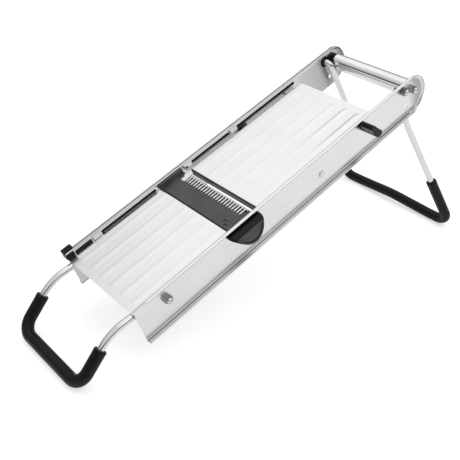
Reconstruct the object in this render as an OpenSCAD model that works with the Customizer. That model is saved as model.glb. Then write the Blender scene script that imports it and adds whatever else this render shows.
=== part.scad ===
// Folding stainless mandoline slicer, millimetres.
// The deck frame has x running back along the slicer, y to its left and z up
// from the landing plate. place() tips that frame onto the table.

/* [Rails] */
// Straight length of a side rail, up to the centre of its rounded rear end
rail_length = 378; // [300:0.5:450]
// Clear width between the two rail webs
inner_width = 108; // [90:1:130]
// Height of a rail over its flanges
rail_height = 45.5; // [30:0.5:55]
// Height of the rail top above the landing plate
rail_above = 7; // [6:0.5:18]
// Width of the outward flange along a rail's top
flange_width = 3.6; // [3:0.1:12]
// Width of the outward flange along a rail's bottom
lower_flange = 4.9; // [3:0.1:12]
// Thickness of the rail sheet
sheet = 1.2; // [0.8:0.1:2]

/* [Deck] */
// Length of the fixed landing plate
landing_length = 117.5; // [90:0.5:140]
// Front edge of the ramp
ramp_front = 155.3; // [145:0.1:170]
// Rear edge of the ramp
ramp_rear = 322; // [280:1:350]
// Drop of the ramp top below the landing plate at rest
ramp_drop = 1; // [0.5:0.1:3]
// Number of pressed ribs on each plate
rib_count = 6; // [3:1:9]
// Spacing of the pressed ribs
rib_pitch = 16.6; // [8:0.1:20]

/* [Legs] */
// Diameter of the bent rod
rod_d = 7; // [5:0.5:9]
// Outside diameter of the rubber sleeves
sleeve_d = 12; // [9:0.5:16]
// Foot of the rear leg, distance back along the deck frame
foot_back = 401; // [380:1:430]
// Foot of the rear leg, depth below the landing plate
foot_drop = 215.8; // [150:0.1:240]
// Half width of the rear foot at its sharp corner
foot_half = 86.4; // [60:0.1:100]
// Foot of the front handle, distance ahead of the landing plate
nose_ahead = 71; // [50:1:90]
// Foot of the front handle, depth below the landing plate
nose_drop = 30.5; // [15:0.1:45]
// Rise of the middle of the rear foot bar
arch_rise = 5; // [0:0.5:10]

/* [Grip] */
// Diameter of the rear tube grip
grip_d = 18; // [14:0.5:24]

/* [Cartridge] */
// Front edge of the blade cartridge
cart_front = 118.2; // [110:0.1:125]
// Length of the cartridge body along the slicer
cart_length = 29.6; // [24:0.1:34]
// Number of tines on the julienne comb
tine_count = 22; // [8:1:30]
// Spacing of the tines
tine_pitch = 3.8; // [2:0.1:8]
// Width of the half-moon knob
knob_width = 43.5; // [25:0.5:50]

/* [Thickness setting] */
// Ramp tilt for each degree of lever turn
tilt_ratio = 0.05; // [0.02:0.01:0.08]
// Full turn of the thickness lever
lever_turn = 84; // [45:1:90]

/* [Hidden] */
$fn = 64;

half_in = inner_width / 2;
half_out = half_in + flange_width;
lower_out = half_in + lower_flange;
web_out = half_in + sheet;
rail_end_r = rail_height / 2;
rail_bottom = rail_above - rail_height;
rail_end_z = rail_above - rail_end_r;
grip_x = 381.5;
grip_z = -9.5;
rod_r = rod_d / 2;
sleeve_r = sleeve_d / 2;
grip_r = grip_d / 2;
pin_r = 2.5;
fit_gap = 0.05;
face_gap = 0.25;
stem = 5;
weld = 0.03;

tilt = atan2(foot_drop - nose_drop, foot_back + nose_ahead);
front_x = -nose_ahead * cos(tilt) + nose_drop * sin(tilt) - sleeve_r;
back_x = foot_back * cos(tilt) + foot_drop * sin(tilt) + sleeve_r;
shift_x = -(front_x + back_x) / 2;
shift_z = nose_ahead * sin(tilt) + nose_drop * cos(tilt) + sleeve_r;

leg_x = 366.8;
leg_z = -2.5;
leg_y = 46;
leg_lean = 14;
leg_straight = 67;
leg_bend_r = 5;
leg_knee_r = 60;
arch_r = 100;
corner_r = 14;
foot_flat = 30;
leg_knee = [leg_x + leg_straight * sin(leg_lean), leg_y, leg_z - leg_straight * cos(leg_lean)];
leg_foot = [foot_back, foot_half, -foot_drop];
leg_sleeve_start = 0.536;

handle_x = 33.5;
handle_z = -8.5;
handle_y = 49;
handle_knee = [-24.4, handle_y, -2.9];
handle_foot = [-nose_ahead, handle_y, -nose_drop];
handle_knee_r = 45;
handle_sleeve_start = 0.3;
eye_r = 7;

cam_x = 304;
cam_z = -6;
cam_y = 40;
cam_width = 6;
plate_t = 1;
pivot_x = 237;
pivot_z = -19.2;
under_rise = -ramp_drop - plate_t - pivot_z;
cam_share = tilt_ratio / (1 + tilt_ratio);
cam_arm = cam_x - pivot_x;
cam_up = cam_z - pivot_z;
cam_gap = 0.08;

cart_back = cart_front + cart_length;
cart_bottom = -8;
knob_x = 130.4;
knob_top = 3.4;
knob_drop = 14;
knob_r = (knob_width * knob_width / 4 + knob_drop * knob_drop) / (2 * knob_drop);
knob_in = web_out + 0.4;
knob_out = 72.7;
knob_round = 59.5;
guard_top = 5.4;
guard_inner = half_in - 2.8;
guard_outer = half_in - 0.5;

strip_t = 0.9;
strip_z = 0.4;
strip_h = 2.5;

steel = [0.78, 0.79, 0.8];
dark = [0.08, 0.08, 0.09];

module place() {
    translate([shift_x, 0, shift_z])
        rotate([0, -tilt, 0])
            children();
}

module both_sides() {
    children();
    mirror([0, 1, 0])
        children();
}

// A round bar between two points
module bar(a, b, r) {
    way = b - a;
    far = norm(way);
    translate(a)
        rotate([0, acos(way[2] / far), atan2(way[1], way[0])])
            cylinder(h = far, r = r);
}

// A round bar along y
module cross_bar(x, z, y0, y1, r) {
    translate([x, y1, z])
        rotate([90, 0, 0])
            cylinder(h = y1 - y0, r = r);
}

function unit(v) = v / norm(v);
function turn(a, p, b) = acos(unit(p - a) * unit(b - p));
function reach(a, p, b, rc) = rc * tan(turn(a, p, b) / 2);
function before(a, p, b, rc) = p - unit(p - a) * reach(a, p, b, rc);
function after(a, p, b, rc) = p + unit(b - p) * reach(a, p, b, rc);

// A bend of centre radius rc, at the sharp corner p between a and b
module bend(a, p, b, rc, r) {
    go_in = unit(p - a);
    go_out = unit(b - p);
    swing = turn(a, p, b);
    middle = p + unit(go_out - go_in) * rc / cos(swing / 2);
    ex = unit(before(a, p, b, rc) - middle);
    ez = cross(ex, go_in);
    multmatrix([
        [ex[0], go_in[0], ez[0], middle[0]],
        [ex[1], go_in[1], ez[1], middle[1]],
        [ex[2], go_in[2], ez[2], middle[2]],
        [0, 0, 0, 1]
    ])
        rotate_extrude(angle = swing)
            translate([rc, 0])
                circle(r = r);
}

// Side outline of a rail, grown inwards by the given amount
module rail_outline(inset) {
    union() {
        translate([-1 * sign(inset), rail_bottom + inset])
            square([rail_length + sign(inset), rail_height - 2 * inset]);
        translate([rail_length, rail_end_z])
            circle(r = rail_end_r - inset);
    }
}

module upright(y0, y1) {
    translate([0, y1, 0])
        rotate([90, 0, 0])
            linear_extrude(height = y1 - y0)
                children();
}

module rail_shape() {
    hem_r = 0.9;
    end_flange = 1.2;
    flange_length = rail_length + 4;
    stray_hole = [371.5, -25.7];
    stray_hole_r = 2.2;
    difference() {
        union() {
            upright(half_in, web_out)
                rail_outline(0);
            upright(half_in, web_out + end_flange)
                difference() {
                    rail_outline(0);
                    rail_outline(sheet);
                }
            translate([0, half_in, rail_above - sheet])
                cube([flange_length, half_out - half_in, sheet]);
            translate([0, half_in, rail_bottom])
                cube([flange_length, lower_out - half_in, sheet]);
            translate([0, lower_out, rail_bottom + hem_r])
                rotate([0, 90, 0])
                    cylinder(h = flange_length, r = hem_r);
            translate([0, half_out, rail_above - hem_r])
                rotate([0, 90, 0])
                    cylinder(h = flange_length, r = hem_r);
        }
        cross_bar(handle_x, handle_z, half_in - 1, web_out + 1, pin_r);
        cross_bar(pivot_x, pivot_z, half_in - 1, web_out + 1, 2);
        cross_bar(cam_x, cam_z, half_in - 1, web_out + 1, pin_r + fit_gap);
        cross_bar(leg_x, leg_z, half_in - 1, web_out + 1, pin_r + fit_gap);
        cross_bar(grip_x, grip_z, half_in - 1, web_out + 1, pin_r);
        cross_bar(stray_hole[0], stray_hole[1], half_in - 1, web_out + 1, stray_hole_r);
    }
}

module left_rail() {
    color(steel)
        place()
            rail_shape();
}

module right_rail() {
    notch = 12;
    notch_depth = half_out - web_out - 0.1;
    slot_top = rail_above - sheet - 0.1;
    color(steel)
        place()
            difference() {
                mirror([0, 1, 0])
                    rail_shape();
                translate([-1, -half_out - 2, rail_above - 2.5])
                    cube([notch + 1, notch_depth + 2, 4]);
                translate([cart_front - 1.7, -web_out - 1, cart_bottom - 1])
                    cube([cart_length + 3, sheet + 2, slot_top - cart_bottom + 1]);
                translate([cart_back, -web_out - 1, -4.4])
                    cube([5, sheet + 2, 5.4]);
            }
}

// A low rounded rib pressed up along a plate
module rib(x0, x1, top) {
    rib_r = 4;
    rib_rise = 0.6;
    intersection() {
        union() {
            translate([x0, 0, top + rib_rise - rib_r])
                rotate([0, 90, 0])
                    cylinder(h = x1 - x0, r = rib_r);
            translate([x0, 0, top + rib_rise - rib_r])
                sphere(r = rib_r);
            translate([x1, 0, top + rib_rise - rib_r])
                sphere(r = rib_r);
        }
        translate([x0 - rib_r, -rib_r, top - plate_t / 2])
            cube([x1 - x0 + 2 * rib_r, 2 * rib_r, 3]);
    }
}

module ribs(x0, x1, top) {
    for (k = [0 : rib_count - 1])
        translate([0, (k - (rib_count - 1) / 2) * rib_pitch, 0])
            rib(x0, x1, top);
}

module landing_plate() {
    flange_start = 44;
    wall_x = landing_length - sheet;
    ledge_z = cart_bottom - 0.2 - sheet;
    color(steel)
        place()
            union() {
                translate([0, -half_in, -plate_t])
                    cube([landing_length, inner_width, plate_t]);
                ribs(10, landing_length - 5, 0);
                both_sides()
                    translate([flange_start, half_in - sheet, -7])
                        cube([wall_x - flange_start, sheet, 7]);
                translate([wall_x, 4 - half_in, ledge_z])
                    cube([sheet, inner_width - 8, -ledge_z]);
                translate([wall_x, 4 - half_in, ledge_z])
                    cube([22, inner_width - 8, sheet]);
            }
}

module ramp_plate() {
    ramp_half = half_in - 3.5;
    ear_r = 6;
    lip = 8;
    color(steel)
        place()
            difference() {
                union() {
                    translate([ramp_front, -ramp_half, -ramp_drop - plate_t])
                        cube([ramp_rear - ramp_front, 2 * ramp_half, plate_t]);
                    ribs(ramp_front + 5, ramp_rear - 13, -ramp_drop);
                    translate([ramp_front, -ramp_half, -ramp_drop - lip])
                        cube([plate_t, 2 * ramp_half, lip]);
                    both_sides() {
                        translate([ramp_front, ramp_half - sheet, -ramp_drop - lip])
                            cube([ramp_rear - ramp_front, sheet, lip]);
                        translate([pivot_x - ear_r, ramp_half - sheet, pivot_z])
                            cube([2 * ear_r, sheet, -pivot_z - ramp_drop - 1]);
                        cross_bar(pivot_x, pivot_z, ramp_half - sheet, ramp_half, ear_r);
                    }
                }
                both_sides() {
                    cross_bar(pivot_x, pivot_z, ramp_half - 3, ramp_half + 1, 2 + fit_gap);
                    cross_bar(cam_x, cam_z, ramp_half - 3, ramp_half + 1, pin_r + 1.6);
                    translate([cam_x - pin_r - 1.6, ramp_half - 3, cam_z - 9])
                        cube([2 * pin_r + 3.2, 4, 9]);
                }
            }
}

module ramp_pins() {
    color(steel)
        place()
            both_sides() {
                cross_bar(pivot_x, pivot_z, half_in - 6.5, web_out, 2);
                cross_bar(pivot_x, pivot_z, half_in - 3.2, half_in, 3.5);
                cross_bar(pivot_x, pivot_z, web_out, web_out + 1, 3.5);
            }
}

// Distance from the shaft to the ramp underside when the cam has turned by t
function cam_reach(t) = under_rise + cam_arm * sin(cam_share * t)
    - cam_up * cos(cam_share * t) - cam_gap;
function cam_slope(t) = cam_share * (cam_arm * cos(cam_share * t) + cam_up * sin(cam_share * t));
function cam_point(t) = [
    cam_reach(t) * -sin(t) - cam_slope(t) * cos(t),
    cam_reach(t) * cos(t) - cam_slope(t) * sin(t)
];

module cam_shaft() {
    over = 10;
    last = lever_turn * (1 + tilt_ratio) + over;
    head_r = 4;
    color(steel)
        place()
            union() {
                cross_bar(cam_x, cam_z, -70, web_out + face_gap, pin_r);
                cross_bar(cam_x, cam_z, web_out + face_gap, web_out + 2, head_r);
                both_sides()
                    translate([cam_x, cam_y + cam_width / 2, cam_z])
                        rotate([90, 0, 0])
                            linear_extrude(height = cam_width)
                                union() {
                                    polygon(concat(
                                        [for (t = [-over : 4 : last]) cam_point(t)],
                                        [[0, -cam_reach(0) + 0.6]]
                                    ));
                                    circle(r = cam_reach(0) - 0.6);
                                }
            }
}

module thickness_lever() {
    hub_r = 4.2;
    tip_r = 3;
    arm = [-7, 11];
    arm_in = lower_out + 1.1;
    lever_out = 75;
    slant = atan2(arm[1], arm[0]);
    color(dark)
        place()
            difference() {
                translate([cam_x, 0, cam_z])
                    union() {
                        translate([0, -web_out - face_gap, 0])
                            rotate([90, 0, 0])
                                cylinder(h = lever_out - web_out - face_gap, r = hub_r);
                        translate([0, -arm_in, 0])
                            rotate([90, 0, 0])
                                linear_extrude(height = lever_out - arm_in)
                                    union() {
                                        translate(arm)
                                            circle(r = tip_r);
                                        rotate(slant)
                                            polygon([
                                                [0, 0.4 - hub_r], [norm(arm), 0.1 - tip_r],
                                                [norm(arm), tip_r - 0.1], [0, hub_r - 0.4]
                                            ]);
                                    }
                    }
                cross_bar(cam_x, cam_z, -70, -50, pin_r);
            }
}

module grip_tube() {
    wall = 1.2;
    plug_len = 5;
    color(steel)
        place()
            difference() {
                cross_bar(grip_x, grip_z, plug_len - half_in, half_in - plug_len, grip_r);
                cross_bar(grip_x, grip_z, -half_in, half_in, grip_r - wall);
            }
}

module grip_plugs() {
    wall = 1.2;
    plug_len = 5;
    color(dark)
        place()
            both_sides()
                difference() {
                    union() {
                        cross_bar(grip_x, grip_z, half_in - plug_len, half_in, grip_r - 1);
                        cross_bar(grip_x, grip_z, half_in - 15, half_in - plug_len,
                            grip_r - wall);
                    }
                    cross_bar(grip_x, grip_z, half_in - 16, half_in + 1, pin_r);
                }
}

module grip_tie_rod() {
    color(steel)
        place()
            cross_bar(grip_x, grip_z, -web_out - stem, web_out + stem, pin_r);
}

// A domed hexagon nut whose seat faces the rail at y0
module cap_nut(x, z, y0) {
    nut_r = 4.6;
    hex_h = 4;
    dome_r = 3.9;
    difference() {
        union() {
            translate([x, y0 + hex_h, z])
                rotate([90, 0, 0])
                    cylinder(h = hex_h, r = nut_r, $fn = 6);
            translate([x, y0 + hex_h, z])
                sphere(r = dome_r);
        }
        cross_bar(x, z, y0 - 1, y0 + stem, pin_r);
    }
}

module grip_nuts() {
    color(steel)
        place()
            both_sides()
                cap_nut(grip_x, grip_z, web_out);
}

// Straight runs and bends through a list of corner points
function run_start(pts, rad, i) = i == 0 ? pts[0]
    : after(pts[i - 1], pts[i], pts[i + 1], rad[i]);
function run_end(pts, rad, i) = i == len(pts) - 2 ? pts[i + 1]
    : before(pts[i], pts[i + 1], pts[i + 2], rad[i + 1]);

// A ball a hair fatter than the wire, with its poles along the wire, that welds two runs
module joint_ball(p, way, r) {
    far = norm(way);
    translate(p)
        rotate([0, acos(way[2] / far), atan2(way[1], way[0])])
            sphere(r = r + weld);
}

module wire(pts, rad, r) {
    for (i = [0 : len(pts) - 2])
        bar(run_start(pts, rad, i), run_end(pts, rad, i), r);
    for (i = [1 : len(pts) - 2]) {
        bend(pts[i - 1], pts[i], pts[i + 1], rad[i], r);
        joint_ball(before(pts[i - 1], pts[i], pts[i + 1], rad[i]), pts[i] - pts[i - 1], r);
        joint_ball(after(pts[i - 1], pts[i], pts[i + 1], rad[i]), pts[i + 1] - pts[i], r);
    }
}

function other(p) = [p[0], -p[1], p[2]];
function along(a, b, share) = a + (b - a) * share;

foot_mid = [foot_back - arch_rise * sin(leg_lean), 0, arch_rise - foot_drop];
foot_in = leg_foot - [0, foot_flat, 0];

// The rear foot from one side to the other, between two given end runs
module rear_foot(ends, end_rad, r) {
    n = len(ends);
    pts = concat(
        ends, [leg_foot, foot_in, foot_mid, other(foot_in), other(leg_foot)],
        [for (i = [n - 1 : -1 : 0]) other(ends[i])]
    );
    rad = concat(
        end_rad, [corner_r, arch_r, arch_r, arch_r, corner_r],
        [for (i = [n - 1 : -1 : 0]) end_rad[i]]
    );
    wire(pts, rad, r);
}

module leg_rod() {
    shoulder_y = half_in - 0.9;
    top = [leg_x, leg_y, leg_z];
    shoulder = [leg_x, shoulder_y, leg_z];
    color(steel)
        place()
            union() {
                difference() {
                    rear_foot([shoulder, top, leg_knee], [0, leg_bend_r, leg_knee_r], rod_r);
                    both_sides()
                        cross_bar(leg_x, leg_z, shoulder_y, half_in + 4, 2 * rod_r);
                }
                both_sides()
                    cross_bar(leg_x, leg_z, shoulder_y - 1, web_out + stem, pin_r);
            }
}

module leg_sleeve() {
    color(dark)
        place()
            difference() {
                rear_foot([along(leg_knee, leg_foot, leg_sleeve_start)], [0], sleeve_r);
                rear_foot([along(leg_knee, leg_foot, leg_sleeve_start - 0.1)], [0], rod_r);
            }
}

module leg_nuts() {
    color(steel)
        place()
            both_sides()
                cap_nut(leg_x, leg_z, web_out + face_gap);
}

module leg_washers() {
    color(dark)
        place()
            both_sides()
                difference() {
                    cross_bar(leg_x, leg_z, half_in - 0.9, half_in - 0.2, 6);
                    cross_bar(leg_x, leg_z, half_in - 2, half_in + 1, pin_r);
                }
}

handle_top = [handle_x, handle_y, handle_z];

module handle_wire(start, r) {
    wire(
        [start, handle_knee, handle_foot, other(handle_foot), other(handle_knee), other(start)],
        [0, handle_knee_r, corner_r, corner_r, handle_knee_r, 0], r
    );
}

module handle_rod() {
    color(steel)
        place()
            difference() {
                union() {
                    handle_wire(handle_top + unit(handle_knee - handle_top) * (eye_r - 2), rod_r);
                    both_sides()
                        cross_bar(handle_x, handle_z, handle_y - 2, handle_y + 2, eye_r);
                }
                both_sides()
                    cross_bar(handle_x, handle_z, handle_y - 4, handle_y + 4, pin_r + fit_gap);
            }
}

module handle_sleeve() {
    seam = along(handle_knee, handle_foot, handle_sleeve_start);
    inner = along(handle_knee, handle_foot, handle_sleeve_start - 0.05);
    color(dark)
        place()
            difference() {
                wire([seam, handle_foot, other(handle_foot), other(seam)],
                    [0, corner_r, corner_r, 0], sleeve_r);
                wire([inner, handle_foot, other(handle_foot), other(inner)],
                    [0, corner_r, corner_r, 0], rod_r);
            }
}

module handle_bolts() {
    head_r = 4;
    head_h = 2.5;
    head_y = handle_y - 2 - face_gap;
    color(steel)
        place()
            both_sides() {
                cross_bar(handle_x, handle_z, head_y - head_h, head_y, head_r);
                cross_bar(handle_x, handle_z, head_y, web_out + stem, pin_r);
            }
}

module handle_nuts() {
    color(steel)
        place()
            both_sides()
                cap_nut(handle_x, handle_z, web_out);
}

module handle_washers() {
    color(dark)
        place()
            both_sides()
                difference() {
                    cross_bar(handle_x, handle_z, handle_y + 2, half_in - 0.2, 4.6);
                    cross_bar(handle_x, handle_z, handle_y, half_in + 1, pin_r + fit_gap);
                }
}

comb_x = cart_front + 20.3;
root_x = cart_front + 26.8;
comb_end = cart_back + 0.4;
blade_x = cart_front + 21.8;
blade_edge = cart_back + 1.9;
blade_y = 46;
comb_y = 48;
tines_end = 38.5;
comb_top = -0.2;
comb_under = -1.2;
blade_top = -2.2;
blade_under = -3.4;

module blade_blank() {
    upright(-blade_y, blade_y)
        polygon([
            [blade_x, blade_under], [cart_back + 0.2, blade_under],
            [blade_edge, blade_top], [blade_x, blade_top]
        ]);
}

module straight_blade() {
    color(steel)
        place()
            blade_blank();
}

module julienne_comb() {
    tine_r = 0.9;
    color(steel)
        place()
            union() {
                translate([root_x, -blade_y, blade_top])
                    cube([comb_end - root_x, blade_y + comb_y, comb_top - blade_top]);
                translate([comb_x, tines_end + 1.5, comb_under])
                    cube([comb_end - comb_x, comb_y - tines_end - 1.5, comb_top - comb_under]);
                for (k = [0 : tine_count - 1])
                    translate([0, tines_end - 0.8 - k * tine_pitch, comb_under]) {
                        translate([comb_x + tine_r, -tine_r, 0])
                            cube([root_x - comb_x - tine_r, 2 * tine_r, comb_top - comb_under]);
                        translate([comb_x + tine_r, 0, 0])
                            cylinder(h = comb_top - comb_under, r = tine_r);
                    }
            }
}

module cartridge_body() {
    key_size = 2.5;
    color(dark)
        place()
            difference() {
                union() {
                    translate([cart_front, -knob_in, cart_bottom])
                        cube([cart_length, knob_in + guard_outer, -cart_bottom]);
                    translate([cart_front, guard_inner, cart_bottom])
                        cube([cart_length - 0.8, guard_outer - guard_inner, guard_top - cart_bottom]);
                }
                translate([comb_x, -blade_y, comb_under])
                    cube([cart_length, blade_y + comb_y, 2]);
                translate([root_x, -blade_y, blade_top])
                    cube([cart_length, blade_y + comb_y, 3]);
                blade_blank();
                for (k = [0, 1])
                    translate([cart_front + 2 + 4 * k, 4 * k - 44, -1])
                        cube([key_size, 2 * key_size, 2]);
            }
}

// The flat-topped half-moon face, drawn smaller by the given rim
module half_moon(rim) {
    intersection() {
        translate([knob_x, knob_top - knob_drop + knob_r])
            circle(r = knob_r - rim);
        translate([knob_x - knob_width, knob_top - rim - knob_width])
            square([2 * knob_width, knob_width]);
    }
}

// The knob seen from above: straight by the rail, round beyond it
module knob_plan() {
    union() {
        translate([knob_x - knob_width / 2, -knob_round])
            square([knob_width, 20]);
        translate([knob_x, -knob_round])
            circle(r = knob_width / 2);
    }
}

module cartridge_knob() {
    rim = 2.6;
    dish = 2.2;
    dish_width = 24;
    face_lean = 28;
    color(dark)
        place()
            difference() {
                intersection() {
                    upright(-knob_out, -knob_in)
                        half_moon(0);
                    translate([0, 0, knob_top - 2 * knob_drop])
                        linear_extrude(height = 3 * knob_drop)
                            knob_plan();
                }
                translate([0, -knob_out, knob_top - knob_drop])
                    rotate([-face_lean, 0, 0])
                        union() {
                            translate([knob_x - knob_width, -knob_drop, -knob_drop])
                                cube([2 * knob_width, knob_drop, 3 * knob_drop]);
                            translate([0, knob_out, knob_drop - knob_top])
                                upright(-knob_out - 1, dish - knob_out)
                                    intersection() {
                                        half_moon(rim);
                                        translate([knob_x - dish_width / 2, -knob_width])
                                            square([dish_width, 2 * knob_width]);
                                    }
                        }
            }
}

module runner(x0, x1) {
    translate([x0, half_in - strip_t, strip_z])
        cube([x1 - x0, strip_t, strip_h]);
}

module runners(front_x) {
    runner(front_x, 29.5);
    runner(42, 112);
    runner(162, 215);
    runner(227, 316);
}

module left_runner_strips() {
    color(dark)
        place()
            runners(9.5);
}

module right_runner_strips() {
    color(dark)
        place()
            mirror([0, 1, 0])
                runners(2);
}

module strip_clips() {
    clip = 9.5;
    clip_t = 2.4;
    color(steel)
        place()
            for (x = [31, 150.5, 216.5])
                translate([x, half_in - clip_t, strip_z])
                    cube([clip, clip_t, 1.5 * clip_t]);
}

module rail_end_stop() {
    stop_len = 10;
    stop_t = 2.5;
    inner_t = 1.6;
    front_t = 1;
    cap_y = half_in + 0.7;
    cap_out = 6;
    color(dark)
        place()
            union() {
                translate([-front_t, cap_y, rail_above])
                    cube([stop_len + front_t, cap_out, stop_t]);
                translate([-front_t, half_in - inner_t, strip_z])
                    cube([front_t, cap_y + cap_out - half_in + inner_t, rail_above + 1 - strip_z]);
                translate([-front_t / 2, half_in - inner_t, strip_z])
                    cube([stop_len - 1, inner_t, rail_above - 2 - strip_z]);
            }
}

left_rail();
right_rail();
landing_plate();
ramp_plate();
ramp_pins();
cam_shaft();
thickness_lever();
grip_tube();
grip_plugs();
grip_tie_rod();
grip_nuts();
leg_rod();
leg_sleeve();
leg_nuts();
leg_washers();
handle_rod();
handle_sleeve();
handle_bolts();
handle_nuts();
handle_washers();
cartridge_body();
cartridge_knob();
straight_blade();
julienne_comb();
left_runner_strips();
right_runner_strips();
strip_clips();
rail_end_stop();
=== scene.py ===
import bpy
import bmesh
import math
from mathutils import Matrix, Vector, geometry

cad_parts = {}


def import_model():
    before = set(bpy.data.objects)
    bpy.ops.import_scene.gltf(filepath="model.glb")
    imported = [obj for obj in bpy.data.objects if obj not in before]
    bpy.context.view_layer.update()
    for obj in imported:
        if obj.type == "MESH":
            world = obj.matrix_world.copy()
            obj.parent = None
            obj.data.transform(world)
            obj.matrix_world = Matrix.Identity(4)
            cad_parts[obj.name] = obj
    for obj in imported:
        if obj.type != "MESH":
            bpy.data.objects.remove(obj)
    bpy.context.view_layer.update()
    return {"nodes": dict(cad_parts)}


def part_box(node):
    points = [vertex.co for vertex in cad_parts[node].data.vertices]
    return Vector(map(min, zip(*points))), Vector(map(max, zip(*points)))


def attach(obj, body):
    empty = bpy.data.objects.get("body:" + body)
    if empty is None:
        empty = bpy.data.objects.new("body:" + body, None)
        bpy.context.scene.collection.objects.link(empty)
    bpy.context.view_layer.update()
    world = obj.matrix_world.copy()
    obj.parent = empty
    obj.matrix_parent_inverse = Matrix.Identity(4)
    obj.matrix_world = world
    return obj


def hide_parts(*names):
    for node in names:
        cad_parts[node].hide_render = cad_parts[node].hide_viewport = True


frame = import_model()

NODES = frame["nodes"]

# ---------------------------------------------------------------- deck frame
# Sizes are in millimetres in the deck frame: x back along the slicer, y to its
# left, z up from the landing plate. DECK places them by two CAD cross bars.
GRIP = (381.5, -9.5)
BOLT = (33.5, -8.5)
LEG = (366.8, -2.5)
CAM = (304, -6)
RAMP_PIN = (237, -19.2)
SPARE_HOLE = (371.5, -25.7)


def middle(node):
    lo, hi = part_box(node)
    return (Vector(lo) + Vector(hi)) / 2


grip_at, bolt_at = middle("grip_tie_rod"), middle("handle_bolts")
TILT = math.atan2(grip_at.z - bolt_at.z, grip_at.x - bolt_at.x) - math.atan2(
    GRIP[1] - BOLT[1], GRIP[0] - BOLT[0]
)
DECK = (
    Matrix.Translation((bolt_at.x, 0, bolt_at.z))
    @ Matrix.Rotation(-TILT, 4, "Y")
    @ Matrix.Scale(0.001, 4)
    @ Matrix.Translation((-BOLT[0], 0, -BOLT[1]))
)

# Inside of the rails, outside of their webs, their top and bottom edges, and the
# centre and radius of their rounded ends
HALF_IN = 54.0
WEB_OUT = 55.2
RAIL_TOP = 7.0
RAIL_BOTTOM = -38.5
END_R = 22.75
END = (378.0, -15.75)
SHEET = 1.2
BEND_R = 1.8
BEND_IN = 0.6
ROD_R = 3.5
SLEEVE_R = 6.0


# ----------------------------------------------------------------- materials
def new_material(name):
    """A material with one Principled shader: the material, its tree and the shader."""
    mat = bpy.data.materials.new(name)
    mat.use_nodes = True
    nt = mat.node_tree
    nt.nodes.clear()
    out = nt.nodes.new("ShaderNodeOutputMaterial")
    shader = nt.nodes.new("ShaderNodeBsdfPrincipled")
    nt.links.new(shader.outputs[0], out.inputs[0])
    return mat, nt, shader


def node(nt, kind, **values):
    """A shader node with its inputs and settings given by name."""
    n = nt.nodes.new("ShaderNode" + kind)
    for key, value in values.items():
        if key in n.inputs:
            n.inputs[key].default_value = value
        else:
            setattr(n, key, value)
    return n


def deck_coords(nt, scale):
    """Coordinates turned into the deck frame, then stretched by scale per metre."""
    coord = node(nt, "TexCoord")
    turn = node(nt, "Mapping", Rotation=(0, TILT, 0))
    size = node(nt, "Mapping", Scale=scale)
    nt.links.new(coord.outputs["Object"], turn.inputs["Vector"])
    nt.links.new(turn.outputs[0], size.inputs["Vector"])
    return size.outputs[0]


def noise(nt, scale, coords, detail=3.0, rough=0.5):
    n = node(nt, "TexNoise", Scale=scale, Detail=detail, Roughness=rough)
    nt.links.new(coords, n.inputs["Vector"])
    return n.outputs["Fac"]


def spread(nt, fac, low, high):
    """Maps the middle of a noise to the range low to high."""
    m = node(nt, "MapRange")
    m.inputs["From Min"].default_value = 0.3
    m.inputs["From Max"].default_value = 0.7
    m.inputs["To Min"].default_value = low
    m.inputs["To Max"].default_value = high
    nt.links.new(fac, m.inputs["Value"])
    return m.outputs[0]


def ramp(nt, fac, stops):
    """A colour ramp through stops of (place, colour)."""
    r = node(nt, "ValToRGB")
    r.color_ramp.elements[0].position = stops[0][0]
    r.color_ramp.elements[0].color = (*stops[0][1], 1)
    r.color_ramp.elements[1].position = stops[-1][0]
    r.color_ramp.elements[1].color = (*stops[-1][1], 1)
    for at, colour in stops[1:-1]:
        r.color_ramp.elements.new(at).color = (*colour, 1)
    nt.links.new(fac, r.inputs["Fac"])
    return r.outputs["Color"]


def bump(nt, fac, shader, strength, distance):
    b = node(nt, "Bump", Strength=strength, Distance=distance)
    nt.links.new(fac, b.inputs["Height"])
    nt.links.new(b.outputs[0], shader.inputs["Normal"])


def steel(name, tone, rough, grain, grain_bump, cloud=0.04):
    """Steel with a grain stretched by grain along the deck's axes and a slow tone change."""
    mat, nt, s = new_material(name)
    s.inputs["Metallic"].default_value = 1.0
    fine = noise(nt, 1.0, deck_coords(nt, grain), 4.0, 0.6)
    slow = noise(nt, 22.0, deck_coords(nt, (1, 1, 1)), 2.0)
    colour = ramp(nt, slow, [
        (0.3, tuple(c - cloud for c in tone)), (0.7, tuple(c + cloud * 0.4 for c in tone)),
    ])
    nt.links.new(colour, s.inputs["Base Color"])
    nt.links.new(spread(nt, fine, rough - 0.05, rough + 0.06), s.inputs["Roughness"])
    bump(nt, fine, s, grain_bump, 0.0002)
    return mat


def plastic(name, tone, rough, grain_size, grain_bump, gloss=0.3):
    """Moulded plastic with a fine texture and slow changes of tone and shine."""
    mat, nt, s = new_material(name)
    s.inputs["Specular IOR Level"].default_value = gloss
    coords = deck_coords(nt, (1, 1, 1))
    fine = noise(nt, grain_size, coords, 3.0)
    slow = noise(nt, 60.0, coords, 3.0)
    colour = ramp(nt, slow, [
        (0.3, tuple(c * 0.8 for c in tone)), (0.72, tuple(c * 1.35 for c in tone)),
    ])
    nt.links.new(colour, s.inputs["Base Color"])
    nt.links.new(spread(nt, slow, rough - 0.06, rough + 0.08), s.inputs["Roughness"])
    bump(nt, fine, s, grain_bump, 0.00015)
    return mat


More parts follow.
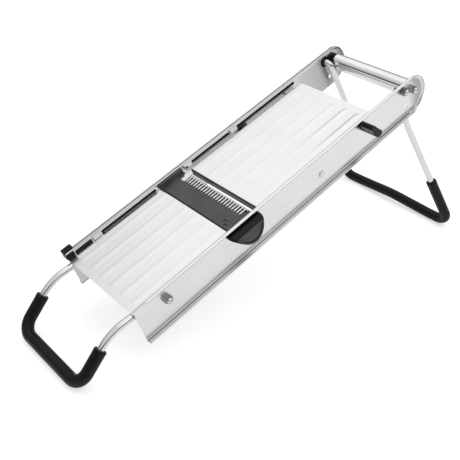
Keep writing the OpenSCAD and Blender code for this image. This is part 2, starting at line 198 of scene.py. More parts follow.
def fade(mat, axis, stops):
    """Multiplies a material's tone along one deck axis, by stops of (metres, factor)."""
    nt = mat.node_tree
    shader = next(n for n in nt.nodes if n.type == "BSDF_PRINCIPLED")
    colour = shader.inputs["Base Color"].links[0].from_socket
    split = node(nt, "SeparateXYZ")
    nt.links.new(deck_coords(nt, (1, 1, 1)), split.inputs[0])
    low, high = stops[0][0], stops[-1][0]
    place = node(nt, "MapRange")
    place.inputs["From Min"].default_value = low
    place.inputs["From Max"].default_value = high
    nt.links.new(split.outputs[axis], place.inputs["Value"])
    tone = ramp(nt, place.outputs[0],
                [((at - low) / (high - low), (f, f, f)) for at, f in stops])
    both = node(nt, "Mix", data_type="RGBA", blend_type="MULTIPLY")
    both.inputs[0].default_value = 1.0
    nt.links.new(colour, both.inputs[6])
    nt.links.new(tone, both.inputs[7])
    nt.links.new(both.outputs[2], shader.inputs["Base Color"])
    return mat


BRIGHT = (0.84, 0.84, 0.845)
BRUSHED = (0.8, 0.8, 0.805)
RAIL_GRAIN = (14, 700, 700)
EVEN_GRAIN = (500, 500, 500)
BLADE_GRAIN = (900, 30, 900)

PLATE = steel("plate_steel", BRIGHT, 0.25, (12, 900, 900), 0.014, 0.02)
RAIL = steel("rail_steel", BRUSHED, 0.25, RAIL_GRAIN, 0.015, 0.025)
# Painted shade: the outsides of the webs darken towards the rounded ends and the bottom bend.
SHADED_WEB_OUTSIDE = steel("rail_web_outside_painted_shade", BRIGHT, 0.25, RAIL_GRAIN, 0.015, 0.025)
fade(SHADED_WEB_OUTSIDE, "X", [(0.212, 1), (0.221, 0.7), (0.228, 0.4), (0.236, 0.22)])
fade(SHADED_WEB_OUTSIDE, "Z", [(0.0905, 0.55), (0.0935, 0.62), (0.0965, 0.72), (0.0995, 1)])
# Painted shade: the insides of the webs darken towards the rear.
SHADED_WEB_INSIDE = steel("rail_web_inside_painted_shade", BRUSHED, 0.25, RAIL_GRAIN, 0.015, 0.025)
fade(SHADED_WEB_INSIDE, "X", [(0.15, 1), (0.165, 0.75), (0.21, 0.55)])
# Painted shade: dark steel for the rails' bends and the hems' undersides.
CREASE_SHADE = steel("rail_crease_painted_shade", (0.1, 0.1, 0.102), 0.3, RAIL_GRAIN, 0.02, 0.01)
ROD = steel("bright_rod", (0.78, 0.78, 0.79), 0.12, (300, 300, 300), 0.02)
TUBE = steel("tube_steel", (0.83, 0.83, 0.84), 0.14, (600, 12, 600), 0.03)
BLADE = steel("ground_blade", (0.74, 0.74, 0.75), 0.16, BLADE_GRAIN, 0.06)
# Painted shade: a darker copy of the fastener steel for the nuts' hexagons.
SHADED_NUT = steel("nut_painted_shade", (0.3, 0.3, 0.31), 0.22, EVEN_GRAIN, 0.04)
# Painted shade: dark steel for the ramp's front nose and the straight blade, standing for the
# shade in the slicing gap.
GAP_SHADE = steel("gap_painted_shade", (0.1, 0.1, 0.105), 0.3, BLADE_GRAIN, 0.04)
FASTENER = steel("fastener_steel", (0.74, 0.74, 0.75), 0.2, EVEN_GRAIN, 0.04)
RUBBER = plastic("sleeve_rubber", (0.005, 0.005, 0.0055), 0.4, 1800.0, 0.1, 0.22)
GLOSS = plastic("black_plastic", (0.004, 0.004, 0.0044), 0.3, 2600.0, 0.05, 0.2)
# Painted reflection: a greyer plastic for the bright floor seen in the knob's dished face.
KNOB_SHEEN = plastic("knob_face_painted_sheen", (0.09, 0.09, 0.092), 0.5, 2600.0, 0.08, 0.35)
TRAY = plastic("tray_plastic", (0.075, 0.075, 0.076), 0.5, 2200.0, 0.12, 0.45)
MATTE = plastic("strip_plastic", (0.007, 0.007, 0.0075), 0.46, 2200.0, 0.1, 0.25)


# --------------------------------------------------------------- mesh helpers
def ring_faces(bm, rings):
    """Quads between neighbouring rings of the same length."""
    n = len(rings[0])
    for a, b in zip(rings, rings[1:]):
        for i in range(n):
            j = (i + 1) % n
            bm.faces.new((a[i], a[j], b[j], b[i]))


def add_rings(bm, loops):
    """A closed shell through loops of points, with its two ends filled."""
    rings = [[bm.verts.new(p) for p in loop] for loop in loops]
    ring_faces(bm, rings)
    bm.faces.new(list(reversed(rings[0])))
    bm.faces.new(rings[-1])


def along_y(pts, y):
    return [(x, y, z) for x, z in pts]


def along_x(pts, x):
    return [(x, y, z) for y, z in pts]


def along_z(pts, z):
    return [(x, y, z) for x, y in pts]


def add_prism(bm, pts, axis, low, high, round_by=0.0):
    """A prism of the outline pts between low and high, with rounded edges."""
    part = bmesh.new()
    place = {"x": along_x, "y": along_y, "z": along_z}[axis]
    add_rings(part, [place(pts, low), place(pts, high)])
    bmesh.ops.recalc_face_normals(part, faces=part.faces)
    if round_by:
        sharp = [e for e in part.edges if e.calc_face_angle(0) > math.radians(25)]
        bmesh.ops.bevel(part, geom=sharp, offset=round_by, segments=2, profile=0.5,
                        affect="EDGES", clamp_overlap=True)
    join(bm, part)


def join(bm, part):
    """Adds part's mesh to bm and frees it."""
    mesh = bpy.data.meshes.new("part")
    part.to_mesh(mesh)
    part.free()
    bm.from_mesh(mesh)
    bpy.data.meshes.remove(mesh)


def add_box(bm, x0, x1, y0, y1, z0, z1, round_by):
    add_prism(bm, [(x0, y0), (x1, y0), (x1, y1), (x0, y1)], "z", z0, z1, round_by)


def add_lathe(bm, x, z, profile, sides=40):
    """Turns a profile of (y, radius) about the cross axis through x, z."""
    loops = []
    for y, r in profile:
        turn = [2 * math.pi * k / sides for k in range(sides)]
        loops.append([(x + r * math.cos(t), y, z + r * math.sin(t)) for t in turn])
    add_rings(bm, loops)


def arc(cx, cy, r, start, end, steps):
    """Points on an arc between two angles in degrees."""
    turn = [math.radians(start + (end - start) * k / steps) for k in range(steps + 1)]
    return [(cx + r * math.cos(t), cy + r * math.sin(t)) for t in turn]


def route(pts, radii, step=3.0):
    """Points along straight runs joined by bends of the given radii."""
    pts = [Vector(p) for p in pts]
    line = [pts[0]]
    for i in range(1, len(pts) - 1):
        a, p, b = pts[i - 1], pts[i], pts[i + 1]
        go_in, go_out = (p - a).normalized(), (b - p).normalized()
        swing = go_in.angle(go_out)
        back = radii[i] * math.tan(swing / 2)
        centre = p + (go_out - go_in).normalized() * radii[i] / math.cos(swing / 2)
        start = p - go_in * back
        axis = go_in.cross(go_out).normalized()
        count = max(4, int(swing * radii[i] / (step * 0.5)))
        run = (start - line[-1]).length
        for k in range(1, max(2, int(run / (step * 4)))):
            line.append(line[-1] + go_in * min(step * 4, run))
            run = (start - line[-1]).length
            if run < step * 4:
                break
        for k in range(count + 1):
            line.append(centre + Matrix.Rotation(swing * k / count, 3, axis) @ (start - centre))
    end = pts[-1]
    run = (end - line[-1]).length
    ahead = (end - line[-1]).normalized()
    for k in range(1, int(run / (step * 4))):
        line.append(line[-1] + ahead * step * 4)
    line.append(end)
    return line


def frames(line):
    """Two steady side vectors at each point of a line."""
    ahead = [(line[min(i + 1, len(line) - 1)] - line[max(i - 1, 0)]).normalized()
             for i in range(len(line))]
    side = ahead[0].orthogonal().normalized()
    out = []
    for i, a in enumerate(ahead):
        side = (side - a * side.dot(a)).normalized()
        out.append((side, a.cross(side)))
    return out


def add_sweep(bm, line, radius, sides):
    """A round bar along a line; radius may be a list with one value per point."""
    radius = radius if isinstance(radius, list) else [radius] * len(line)
    loops = []
    for p, (u, v), r in zip(line, frames(line), radius):
        turn = [2 * math.pi * k / sides for k in range(sides)]
        loops.append([p + (u * math.cos(t) + v * math.sin(t)) * r for t in turn])
    add_rings(bm, loops)


def finish_piece(bm, name, body, mat, stands_for=(), angle=35, normals=True):
    """Turns deck-frame mesh code into a named piece on its body."""
    bmesh.ops.recalc_face_normals(bm, faces=bm.faces)
    bm.transform(DECK)
    mesh = bpy.data.meshes.new(name)
    bm.to_mesh(mesh)
    bm.free()
    mesh.polygons.foreach_set("use_smooth", [True] * len(mesh.polygons))
    mesh.set_sharp_from_angle(angle=math.radians(angle))
    mesh.materials.append(mat)
    obj = bpy.data.objects.new(name, mesh)
    bpy.context.scene.collection.objects.link(obj)
    if normals:
        w = obj.modifiers.new("Normals", "WEIGHTED_NORMAL")
        w.keep_sharp = True
    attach(obj, body)
    if stands_for:
        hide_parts(*stands_for)
    return obj


def refine(name, mat, width, steps=2):
    """A CAD node keeps its shape, with softened edges and a better material."""
    obj = NODES[name]
    obj.data.materials.clear()
    obj.data.materials.append(mat)
    weld = obj.modifiers.new("Weld", "WELD")
    weld.merge_threshold = 2e-6
    bevel = obj.modifiers.new("Edges", "BEVEL")
    bevel.width = width / 1000
    bevel.segments = steps
    bevel.limit_method = "ANGLE"
    bevel.angle_limit = math.radians(40)
    bevel.harden_normals = False
    smooth = obj.modifiers.new("Normals", "WEIGHTED_NORMAL")
    smooth.keep_sharp = True


# -------------------------------------------------------------------- rails
def rail_section(edge, hem, deep):
    """The folded flange as (distance out, depth in from the outline), a closed ring."""
    web = [2 + (deep - 2) * k / 6 for k in range(7)]
    ring = [(HALF_IN, n) for n in reversed(web)]
    bend_at = HALF_IN + BEND_R
    for k in range(1, 7):
        t = math.radians(15 * k)
        ring.append((bend_at - BEND_R * math.cos(t), BEND_R - BEND_R * math.sin(t)))
    ring.append((bend_at + 0.4, 0))
    last = 180 - math.degrees(math.asin(max(-1, min(1, (SHEET - hem) / hem))))
    for k in range(13):
        t = math.radians(-90 + (last + 90) * k / 12)
        ring.append((edge + hem * math.cos(t), hem + hem * math.sin(t)))
    for k in range(6):
        t = math.radians(90 - 15 * k)
        ring.append((bend_at - BEND_IN * math.cos(t), BEND_R - BEND_IN * math.sin(t)))
    ring += [(WEB_OUT, n) for n in web]
    flare = min(1.0, (deep - 3) / 3)
    return [(y + flare * max(0, 1 - n / deep) ** 2, n) for y, n in ring]


def rail_path(notched):
    """(x, z, inward x, inward z, flange edge, hem radius, web inset) round a rail."""
    low, top, end = HALF_IN + 4.9, HALF_IN + 3.6, WEB_OUT + 0.3
    hem, inset = 0.9, 3
    path = [(x, RAIL_BOTTOM, 0, 1, low, hem, inset) for x in (0, 120, 240, 360, 375)]
    for k in range(37):
        t = math.radians(-90 + 5 * k)
        wide, ease = (low, max(0, 5 - k) / 5) if k < 18 else (top, max(0, k - 31) / 5)
        path.append((END[0] + END_R * math.cos(t), END[1] + END_R * math.sin(t),
                     -math.cos(t), -math.sin(t), end + (wide - end) * ease, 0.7 + 0.2 * ease,
                     inset + 8 * math.sin(math.pi * k / 36) ** 0.7))
    path += [(x, RAIL_TOP, 0, -1, top, hem, inset) for x in (372, 300, 200, 100, 40, 15.5)]
    if notched:
        for k in range(9):
            ease = 0.5 - 0.5 * math.cos(math.pi * k / 8)
            path.append((15 - 0.5 * k, RAIL_TOP, 0, -1, top + (end - top) * ease,
                         hem - 0.25 * ease, inset))
        path.append((0, RAIL_TOP, 0, -1, end, hem - 0.25, inset))
    else:
        path.append((0, RAIL_TOP, 0, -1, top, hem, inset))
    return path


def circle_pts(x, z, r, count=28, turn=0.0):
    angles = [2 * math.pi * k / count + turn for k in range(count)]
    return [(x + r * math.cos(t), z + r * math.sin(t)) for t in angles]


def add_web(bm, side, holes):
    """The flat web with its holes, as a closed sheet."""
    outline = [(x + nx * deep, z + nz * deep) for x, z, nx, nz, _, _, deep in rail_path(False)]
    loops = [outline] + holes
    flat = [[Vector((x, z, 0)) for x, z in loop] for loop in loops]
    triangles = geometry.tessellate_polygon(flat)
    faces = []
    for y in (HALF_IN, WEB_OUT):
        faces.append([bm.verts.new((p.x, side * y, p.y)) for loop in flat for p in loop])
        for a, b, c in triangles:
            bm.faces.new((faces[-1][a], faces[-1][b], faces[-1][c]))
    start = 0
    for loop in loops:
        n = len(loop)
        for i in range(n):
            j = (i + 1) % n
            bm.faces.new((faces[0][start + i], faces[0][start + j],
                          faces[1][start + j], faces[1][start + i]))
        start += n


def gets_crease_shade(side, band, bands, place):
    """Whether a flange face gets painted shade as a dark crease: its bend, or the hem's
    underside.
    """
    inner_bend, outer_bend, hem_under = (27, 33), (10, 13), (21, 26)
    low, high = 0, 0
    if band < 4:
        low, high = inner_bend
    elif bands - 14 <= band < bands:
        low, high = outer_bend if side > 0 else hem_under
    return low <= place < high


def shade_rail(obj, side, points, bands):
    """Gives a rail painted shade: dark steel in its creases and darkening steels on the two
    sides of its web.
    """
    for mat in (CREASE_SHADE, SHADED_WEB_OUTSIDE, SHADED_WEB_INSIDE):
        obj.data.materials.append(mat)
    for face in obj.data.polygons:
        band, place = divmod(face.index, points)
        out, y = face.normal.y * side, abs(face.center.y) * 1000
        round_end = 9 < band < 33
        if gets_crease_shade(side, band, bands, place):
            face.material_index = 1
        elif out > 0.7 and y < WEB_OUT + 1.6 or (round_end and out > -0.2):
            face.material_index = 2
        elif out < -0.7 and y < HALF_IN + 1.6:
            face.material_index = 3


def rail(side, name, cad, holes, notched):
    """A folded channel rail: the flange swept round its outline and the web inside."""
    bm = bmesh.new()
    loops = []
    for x, z, nx, nz, *size in rail_path(notched):
        loops.append([(x + nx * n, side * y, z + nz * n) for y, n in rail_section(*size)])
    add_rings(bm, loops)
    add_web(bm, side, holes)
    obj = finish_piece(bm, name, "frame", RAIL, [cad], angle=40, normals=False)
    shade_rail(obj, side, len(loops[0]), len(loops) - 1)


HOLES = [(BOLT, 2.5), (RAMP_PIN, 2.0), (CAM, 2.55), (LEG, 2.55), (GRIP, 2.5), (SPARE_HOLE, 2.2)]
pivot_holes = [circle_pts(*at, r) for at, r in HOLES]
cartridge_slot = [(116.5, -9), (149.1, -9), (149.1, -4.4), (152.8, -4.4), (152.8, 1.0),
                  (149.1, 1.0), (149.1, 3.9), (116.5, 3.9)]
rail(1, "left_rail_sheet", "left_rail", pivot_holes, False)
rail(-1, "right_rail_sheet", "right_rail", pivot_holes + [cartridge_slot], True)


# ------------------------------------------------------------------- plates
RIBS = [16.6 * (k - 2.5) for k in range(6)]
RIB_W = 4.4
RIB_H = 0.11


def rib_height(x, y, x0, x1):
    """Height of the low ribs, which stand taller towards the ramp's rear right corner."""
    near = min(RIBS, key=lambda r: abs(r - y))
    dx = max(x0 - x, 0, x - x1)
    d = math.hypot(dx, y - near)
    if d >= RIB_W:
        return 0.0
    rise = 1 + 6 * min(1, max(0, (x - 235) / 50)) * min(1, max(0, -y / 40))
    return RIB_H * rise * (0.5 + 0.5 * math.cos(math.pi * d / RIB_W))


def samples(low, high, marks, reach, fine, coarse):
    """Sample places from low to high, fine near the marks and coarse elsewhere."""
    at, out = low, [low]
    while at < high - 1e-6:
        near = any(abs(at - m) < reach + fine * 0.5 for m in marks)
        step = fine if near else coarse
        if not near:
            for m in marks:
                if at < m - reach < at + step:
                    step = max(m - reach - at, 0.05)
        at = min(at + step, high)
        out.append(at)
    return out


def add_ribbed(bm, x0, x1, half, top, rib_x0, rib_x1):
    """A ribbed sheet 1 mm thick, as two grids joined round the rim."""
    xs = samples(x0, x1, [rib_x0, rib_x1], RIB_W, 0.6, 6.0)
    ys = samples(-half, half, RIBS, RIB_W, 0.45, 2.5)
    grids = []
    for drop in (0.0, 1.0):
        grids.append([[bm.verts.new((x, y, top - drop + rib_height(x, y, rib_x0, rib_x1)))
                       for y in ys] for x in xs])
        g = grids[-1]
        for i in range(len(xs) - 1):
            for j in range(len(ys) - 1):
                bm.faces.new((g[i][j], g[i + 1][j], g[i + 1][j + 1], g[i][j + 1]))
    a, b = grids
    rim_a = a[0] + [r[-1] for r in a[1:]] + a[-1][-2::-1] + [r[0] for r in a[-2:0:-1]]
    rim_b = b[0] + [r[-1] for r in b[1:]] + b[-1][-2::-1] + [r[0] for r in b[-2:0:-1]]
    ring_faces(bm, [rim_a, rim_b])


def fold_section(out, top, drop):
    """A side lip folded down from a sheet: (y, z) ring with a rounded bend."""
    ring = arc(out - BEND_R, top - BEND_R, BEND_R, 90, 0, 6)
    ring += [(out, top - drop + 0.3), (out - 0.3, top - drop)]
    ring += [(out - SHEET + 0.3, top - drop), (out - SHEET, top - drop + 0.3)]
    ring += arc(out - BEND_R, top - BEND_R, BEND_IN, 0, 90, 4)
    return ring


def landing_sheet():
    """The front plate with its side lips and the ledge that carries the cartridge."""
    bm = bmesh.new()
    back, lip_from, ledge_end = 117.5, 44, 138.3
    add_ribbed(bm, 0, back - BEND_R, HALF_IN - BEND_R, 0, 10, 112)
    for side in (1, -1):
        lip = [(side * y, z) for y, z in fold_section(HALF_IN, 0, 7)]
        add_rings(bm, [along_x(lip, lip_from), along_x(lip, back - SHEET)])
        ys = sorted((side * (HALF_IN - BEND_R), side * (HALF_IN - 0.02)))
        add_box(bm, 0, lip_from, *ys, -1, 0, 0)
    wall = arc(back - BEND_R, -BEND_R, BEND_R, 90, 0, 6)
    wall += [(back, -8.2), (ledge_end - 0.3, -8.2), (ledge_end, -8.5), (ledge_end, -9.1),
             (ledge_end - 0.3, -9.4)]
    wall += arc(back + BEND_IN, -7.6, BEND_R, 270, 180, 6)
    wall += arc(back - BEND_R, -BEND_R, BEND_IN, 0, 90, 4)
    add_rings(bm, [along_y(wall, 4 - HALF_IN), along_y(wall, HALF_IN - 4)])
    finish_piece(bm, "landing_sheet", "frame", PLATE,
                 ["landing_plate"], angle=40, normals=False)


def ramp_sheet():
    """The tilting plate, with painted shade on its front nose, side lips and the pivot's ears.
    """
    bm = bmesh.new()
    front, rear, half, top, corner = 155.3, 322.0, HALF_IN - 3.5, -1.0, 5.0
    add_ribbed(bm, front + BEND_R, rear - corner, half - BEND_R, top, front + 5, 309)
    for side in (1, -1):
        lip = [(side * y, z) for y, z in fold_section(half, top, 8)]
        add_rings(bm, [along_x(lip, front + 0.9), along_x(lip, rear - corner)])
    nose = arc(front + BEND_R, top - BEND_R, BEND_R, 90, 180, 6)
    nose += [(front, top - 7.7), (front + 0.3, top - 8), (front + 1.0, top - 7.7)]
    nose += arc(front + BEND_R, top - BEND_R, 0.8, 180, 90, 4)
    add_rings(bm, [along_y(nose, BEND_R - half), along_y(nose, half - BEND_R)])
    tail = [(rear - corner, -half), *arc(rear - corner, -half + corner, corner, -80, 0, 8),
            *arc(rear - corner, half - corner, corner, 0, 80, 8), (rear - corner, half)]
    add_prism(bm, tail, "z", top - 1.0, top, 0)
    for side in (1, -1):
        ear = [(RAMP_PIN[0] - 6, top - 3), *arc(*RAMP_PIN, 6, 180, 360, 20),
               (RAMP_PIN[0] + 6, top - 3)]
        ys = sorted((side * (half - SHEET), side * half))
        add_prism(bm, ear, "y", ys[0], ys[1], 0.2)
    obj = finish_piece(bm, "ramp_sheet", "ramp", PLATE,
                       ["ramp_plate"], angle=40, normals=False)
    # Painted shade: the nose's forward faces get the dark steel.
    obj.data.materials.append(GAP_SHADE)
    forward = Vector((-math.cos(TILT), 0, -math.sin(TILT)))
    flat = DECK.inverted()
    for face in obj.data.polygons:
        ahead = face.normal.dot(forward) > 0.6 and (flat @ face.center).x < front + 2
        face.material_index = int(ahead)


landing_sheet()
ramp_sheet()


# ---------------------------------------------------------- rods and sleeves
def other(p):
    """The same point on the other side of the slicer."""
    return (p[0], -p[1], p[2])


def both_ways(points):
    return points + [other(p) for p in reversed(points)]


# The leg leans back by LEAN and bends out at its knee. Its foot rises in the middle.
LEAN = math.radians(14)
LEG_Y = 46
LEG_KNEE = (LEG[0] + 67 * math.sin(LEAN), LEG_Y, LEG[1] - 67 * math.cos(LEAN))
LEG_FOOT = (401, 86.4, -215.8)
LEG_IN = (401, 56.4, -215.8)
LEG_MID = (401 - 5 * math.sin(LEAN), 0, 5 - 215.8)
# The handle runs forward from its pivot to a knee and down to its toe.
HANDLE_Y = 49
KNEE = (-24.4, HANDLE_Y, -2.9)
TOE = (-71, HANDLE_Y, -30.5)


def share(a, b, s):
    """The point a share s of the way from a to b."""
    return tuple(p + (q - p) * s for p, q in zip(a, b))


def leg_rod():
    bm = bmesh.new()
    ends = [(LEG[0], HALF_IN - 0.9, LEG[1]), (LEG[0], LEG_Y, LEG[1]), LEG_KNEE, LEG_FOOT, LEG_IN]
    pts = ends + [LEG_MID] + [other(p) for p in reversed(ends)]
    radii = [0, 5, 60, 14, 100, 100, 100, 14, 60, 5, 0]
    add_sweep(bm, route(pts, radii, 2.5), ROD_R, 32)
    for side in (1, -1):
        ends = [(HALF_IN - 1.5, 2.5), (WEB_OUT + 4.4, 2.5), (WEB_OUT + 5, 2.0)]
        add_lathe(bm, *LEG, [(side * y, r) for y, r in ends], 28)
    finish_piece(bm, "leg_wire", "rear_leg", ROD, ["leg_rod"], normals=False)


def handle_rod():
    bm = bmesh.new()
    start = (BOLT[0] - 6, HANDLE_Y, BOLT[1] + 0.6)
    pts = both_ways([start, KNEE, TOE])
    add_sweep(bm, route(pts, [0, 45, 14, 14, 45, 0], 2.5), ROD_R, 32)
    for side in (1, -1):
        eye = [(HANDLE_Y - 2, 6.6), (HANDLE_Y - 1.6, 7.0), (HANDLE_Y + 1.6, 7.0),
               (HANDLE_Y + 2, 6.6)]
        add_lathe(bm, *BOLT, [(side * y, r) for y, r in eye], 36)
    finish_piece(bm, "handle_wire", "front_handle", ROD, ["handle_rod"],
                 normals=False)


def sleeve(name, body, cad, pts, radii):
    """A rubber sleeve with softly rounded, slightly swollen mouths."""
    bm = bmesh.new()
    line = route(pts, radii, 2.0)
    mouth = (0, 0.15, 0.6, 1.6, 4, 7)
    head = [line[0] + (line[1] - line[0]).normalized() * d for d in mouth]
    tail = [line[-1] + (line[-2] - line[-1]).normalized() * d for d in mouth[::-1]]
    inner = [p for p in line[1:-1] if (p - line[0]).length > 8 and (p - line[-1]).length > 8]
    swell = [5.0, 5.6, SLEEVE_R, 6.12, 6.08, SLEEVE_R]
    size = swell + [SLEEVE_R] * len(inner) + swell[::-1]
    add_sweep(bm, head + inner + tail, size, 36)
    finish_piece(bm, name, body, RUBBER, [cad], angle=50, normals=False)


leg_rod()
handle_rod()
leg_start = share(LEG_KNEE, LEG_FOOT, 0.536)
leg_ends = [leg_start, LEG_FOOT, LEG_IN]
sleeve("leg_grip", "rear_leg", "leg_sleeve",
       leg_ends + [LEG_MID] + [other(p) for p in reversed(leg_ends)],
       [0, 14, 100, 100, 100, 14, 0])
sleeve("handle_grip", "front_handle", "handle_sleeve",
       both_ways([share(KNEE, TOE, 0.3), TOE]), [0, 14, 14, 0])


# ------------------------------------------------------------ tube and nuts
def grip_tube():
    """The tube between the rails' rear ends, and the plugs in its two ends."""
    bm = bmesh.new()
    half, tube_r = HALF_IN - 5, 9.0
    profile = [(-half, 7.8), (-half, 8.6), (0.4 - half, tube_r), (-30, tube_r), (0, tube_r),
               (30, tube_r), (half - 0.4, tube_r), (half, 8.6), (half, 7.8)]
    add_lathe(bm, *GRIP, profile, 72)
    finish_piece(bm, "grip_barrel", "frame", TUBE, ["grip_tube"])
    bm = bmesh.new()
    for side in (1, -1):
        profile = [(40, 7.6), (half, 7.8), (half + 0.02, 7.8), (half + 0.3, 8.0),
                   (half + 4.2, 8.0), (half + 4.98, 7.4)]
        add_lathe(bm, *GRIP, [(side * y, r) for y, r in profile], 48)
    finish_piece(bm, "grip_end_plugs", "frame", GLOSS, ["grip_plugs"])


def hex_nut(bm, x, z, seat, side, turn):
    """A chamfered hexagon nut with a low domed end, seated at the given distance out."""
    corner_r, sides = 4.6, 36
    flat_r = corner_r * math.cos(math.pi / 6)
    loops = []
    for y, r in [(0, 4.1), (0.35, corner_r), (3.6, corner_r), (4.1, 4.25)]:
        loops.append([])
        for k in range(sides):
            t = 2 * math.pi * k / sides
            rr = min(flat_r / math.cos((t % (math.pi / 3)) - math.pi / 6), r)
            loops[-1].append((x + rr * math.cos(t + turn), side * (seat + y),
                              z + rr * math.sin(t + turn)))
    for y, r in [(4.25, 3.5), (5.2, 3.3), (6.6, 2.6), (7.5, 1.4), (7.8, 0.3)]:
        loops.append(along_y(circle_pts(x, z, r, sides, turn), side * (seat + y)))
    add_rings(bm, loops)


def nuts(name, body, cad, x, z, seat, turn):
    """A nut on each rail, with painted shade darkening its hexagon and a bright domed end."""
    bm = bmesh.new()
    for side in (1, -1):
        hex_nut(bm, x, z, seat, side, turn)
    obj = finish_piece(bm, name, body, FASTENER, [cad], angle=28)
    obj.data.materials.append(SHADED_NUT)
    for face in obj.data.polygons:
        face.material_index = int(abs(face.center.y) * 1000 < seat + 5.0)


grip_tube()
nuts("grip_end_nuts", "frame", "grip_nuts", *GRIP, WEB_OUT, 0.3)
nuts("leg_end_nuts", "rear_leg", "leg_nuts", *LEG, WEB_OUT + 0.25, 0.8)
nuts("handle_end_nuts", "frame", "handle_nuts", *BOLT, WEB_OUT, 0.1)


# --------------------------------------------------------------------- knob
# The half moon is an arc of KNOB_R about KNOB, cut flat at KNOB_TOP. Beyond the
# rail it is half a circle in plan, KNOB_HALF in radius, and its face leans back.
KNOB = (130.4, 13.3)
KNOB_R = 23.9
KNOB_TOP = 3.4
KNOB_LOW = -10.6
KNOB_HALF = 21.75


def moon_loop(rim, y, wide=1.0, sink=0.0):
    """The half-moon outline drawn smaller by rim, narrowed and lowered, with rounded corners."""
    (cx, cz), r, top = KNOB, KNOB_R - rim, KNOB_TOP - rim
    f = max(1.7 - 0.3 * rim, 0.7)
    away = math.sqrt((r - f) ** 2 - (cz - top + f) ** 2)
    low = math.degrees(math.atan2(top - f - cz, away))
    pts = arc(cx, cz, r, low, -180 - low, 44)[1:-1]
    pts += arc(cx - away, top - f, f, -180 - low, -270, 6)
    pts += [(cx - away + 2 * away * k / 10, top) for k in range(1, 10)]
    pts += arc(cx + away, top - f, f, 90, low, 6)
    lean = 0.36 * max(0.0, (-y - 57.0) / 15.7)
    tall = KNOB_TOP - KNOB_LOW
    return [(cx + (x - cx) * wide, y + lean * (z - KNOB_LOW),
             z - sink * max(0.0, (z - KNOB_LOW) / tall)) for x, z in pts]


def knob():
    """Rounded in plan beyond the rail, with a raised rim round a dished face."""
    bm = bmesh.new()
    loops = [moon_loop(0.4, -55.62), moon_loop(0, -56.2)]
    steps, reach = 14, 13.0
    for k in range(steps):
        out = reach * math.sin(math.radians(90 * (k + 1) / steps))
        wide = math.sqrt(KNOB_HALF ** 2 - out ** 2) / KNOB_HALF
        loops.append(moon_loop(0, -59.5 - out, wide, 0.5 * (out / reach) ** 4))
    face_from = len(loops)
    face = [(0.25, -72.62, 0.798, 0.75), (0.8, -72.7, 0.8, 0.9), (1.7, -72.65, 0.8, 0.9),
            (2.1, -72.35, 0.81, 0.9), (2.5, -71.5, 0.815, 0.9), (3.0, -70.9, 0.82, 0.9),
            (4.0, -70.6, 0.83, 0.8), (6.0, -70.45, 0.85, 0.6)]
    loops += [moon_loop(*row) for row in face]
    add_rings(bm, loops)
    obj = finish_piece(bm, "half_moon_knob", "cartridge", GLOSS,
                       ["cartridge_knob"], angle=60)
    # Painted reflection: the dished face and its end cap get the greyer plastic, and the groove
    # keeps the black.
    obj.data.materials.append(KNOB_SHEEN)
    points, bands = len(loops[0]), len(loops) - 1
    groove = (face_from + 2, face_from + 3)
    last_cap = bands * points + 1
    for face in obj.data.polygons:
        band = face.index // points
        sheen_face = face_from <= band < bands and band not in groove
        face.material_index = int(sheen_face or face.index == last_cap)


knob()


# --------------------------------------------------------------- blade comb
def comb():
    """A bar with fine tines ahead of it, an end plate and a tab across the gap."""
    bm = bmesh.new()
    add_box(bm, 147.3, 148.2, -46, 48, -2.2, -0.6, 0.15)
    add_box(bm, 138.5, 148.2, 40.0, 48, -1.2, -0.2, 0.15)
    add_box(bm, 148.0, 152.3, 41.5, 47.8, -1.4, -0.4, 0.15)
    pitch = 3.8
    for k in range(22):
        y = 37.7 - pitch * k
        tine = [(148.1, y - 0.8), (140.2, y - 0.8), (138.6, y - 0.15), (138.6, y + 0.15),
                (140.2, y + 0.8), (148.1, y + 0.8)]
        add_prism(bm, tine, "z", -1.2, -0.1, 0.3)
    finish_piece(bm, "julienne_tines", "cartridge", BLADE, ["julienne_comb"])


comb()

# ------------------------------------------- CAD nodes with their edges eased
refine("cartridge_body", TRAY, 0.35)
# Painted shade: the straight blade is dark for the shade in the slicing gap.
refine("straight_blade", GAP_SHADE, 0.1)
refine("thickness_lever", GLOSS, 0.6, 3)
refine("cam_shaft", FASTENER, 0.2)
refine("ramp_pins", FASTENER, 0.4)
refine("grip_tie_rod", FASTENER, 0.4)
refine("leg_washers", MATTE, 0.15)
refine("handle_bolts", FASTENER, 0.4)
refine("handle_washers", MATTE, 0.3)
refine("left_runner_strips", MATTE, 0.4)
refine("right_runner_strips", MATTE, 0.4)
refine("strip_clips", FASTENER, 0.4)
refine("rail_end_stop", GLOSS, 0.9, 3)


# ------------------------------------------------------- floor, light, camera
def floor():
    """A pale floor that glows a little, more to the camera than to reflections."""
    bm = bmesh.new()
    bmesh.ops.create_circle(bm, cap_ends=True, segments=96, radius=40.0)
    mesh = bpy.data.meshes.new("floor")
    bm.to_mesh(mesh)
    bm.free()
    obj = bpy.data.objects.new("floor", mesh)
    obj.location.z = -0.0002
    bpy.context.scene.collection.objects.link(obj)
    mat, nt, s = new_material("floor_paper")
    s.inputs["Base Color"].default_value = (0.8, 0.8, 0.8, 1)
    s.inputs["Roughness"].default_value = 0.9
    s.inputs["Specular IOR Level"].default_value = 0.1
    s.inputs["Emission Color"].default_value = (1, 1, 1, 1)
    path = node(nt, "LightPath")
    seen = node(nt, "Math", operation="MULTIPLY_ADD")
    nt.links.new(path.outputs["Is Glossy Ray"], seen.inputs[0])
    seen.inputs[1].default_value = 0.35
    nt.links.new(path.outputs["Is Camera Ray"], seen.inputs[2])
    glow = node(nt, "MapRange")
    glow.inputs["To Min"].default_value = 0.15
    glow.inputs["To Max"].default_value = 0.55
    nt.links.new(seen.outputs[0], glow.inputs["Value"])
    nt.links.new(glow.outputs[0], s.inputs["Emission Strength"])
    mesh.materials.append(mat)


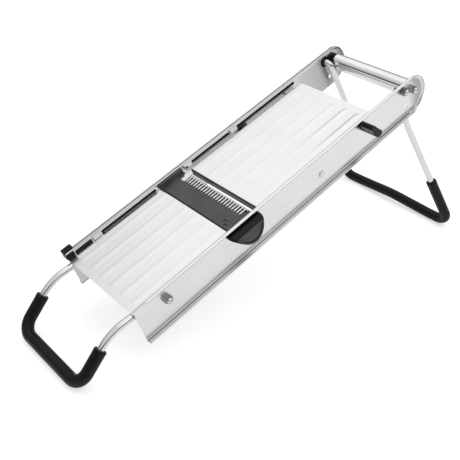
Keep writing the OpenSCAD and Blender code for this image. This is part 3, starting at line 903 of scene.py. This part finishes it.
def area(name, place, target, size, power):
    """A round soft light at place, aimed at target."""
    data = bpy.data.lights.new(name, "AREA")
    data.shape = "DISK"
    data.size = size
    data.energy = power
    obj = bpy.data.objects.new(name, data)
    obj.location = place
    obj.rotation_euler = (Vector(target) - Vector(place)).to_track_quat("-Z", "Y").to_euler()
    bpy.context.scene.collection.objects.link(obj)


def world():
    """White behind the object; reflections see a bright sky over a dark horizon band."""
    w = bpy.data.worlds.new("studio")
    bpy.context.scene.world = w
    w.use_nodes = True
    nt = w.node_tree
    nt.nodes.clear()
    out = nt.nodes.new("ShaderNodeOutputWorld")
    back = nt.nodes.new("ShaderNodeBackground")
    coord = nt.nodes.new("ShaderNodeTexCoord")
    split = nt.nodes.new("ShaderNodeSeparateXYZ")
    nt.links.new(coord.outputs["Generated"], split.inputs[0])
    colour = ramp(nt, split.outputs["Z"], [
        (0.0, (0.4, 0.4, 0.4)), (0.03, (0.05, 0.05, 0.05)), (0.2, (0.07, 0.07, 0.07)),
        (0.4, (0.75, 0.75, 0.75)), (0.7, (0.9, 0.9, 0.9)), (1.0, (1.0, 1.0, 1.0)),
    ])
    nt.links.new(colour, back.inputs["Color"])
    back.inputs["Strength"].default_value = 0.85
    seen = node(nt, "Background", Color=(1, 1, 1, 1), Strength=1.0)
    pick = nt.nodes.new("ShaderNodeMixShader")
    nt.links.new(node(nt, "LightPath").outputs["Is Camera Ray"], pick.inputs[0])
    nt.links.new(back.outputs[0], pick.inputs[1])
    nt.links.new(seen.outputs[0], pick.inputs[2])
    nt.links.new(pick.outputs[0], out.inputs[0])


floor()
world()
area("key", (0.3, 0.7, 2.2), (0, 0, 0.1), 2.6, 5)
area("fill", (0.24, -1.4, 2.0), (0, 0, 0.1), 2.0, 3.5)

cam_data = bpy.data.cameras.new("camera")
cam_data.lens = 56.17
cam_data.sensor_width = 36
cam = bpy.data.objects.new("camera", cam_data)
cam.location = (-0.47726, -0.45789, 0.4541)
cam.rotation_euler = tuple(math.radians(v) for v in (58.1566, -3.1814, -41.7422))
bpy.context.scene.collection.objects.link(cam)
bpy.context.scene.camera = cam

view_settings = bpy.context.scene.view_settings
view_settings.view_transform = "Standard"
view_settings.look = "None"
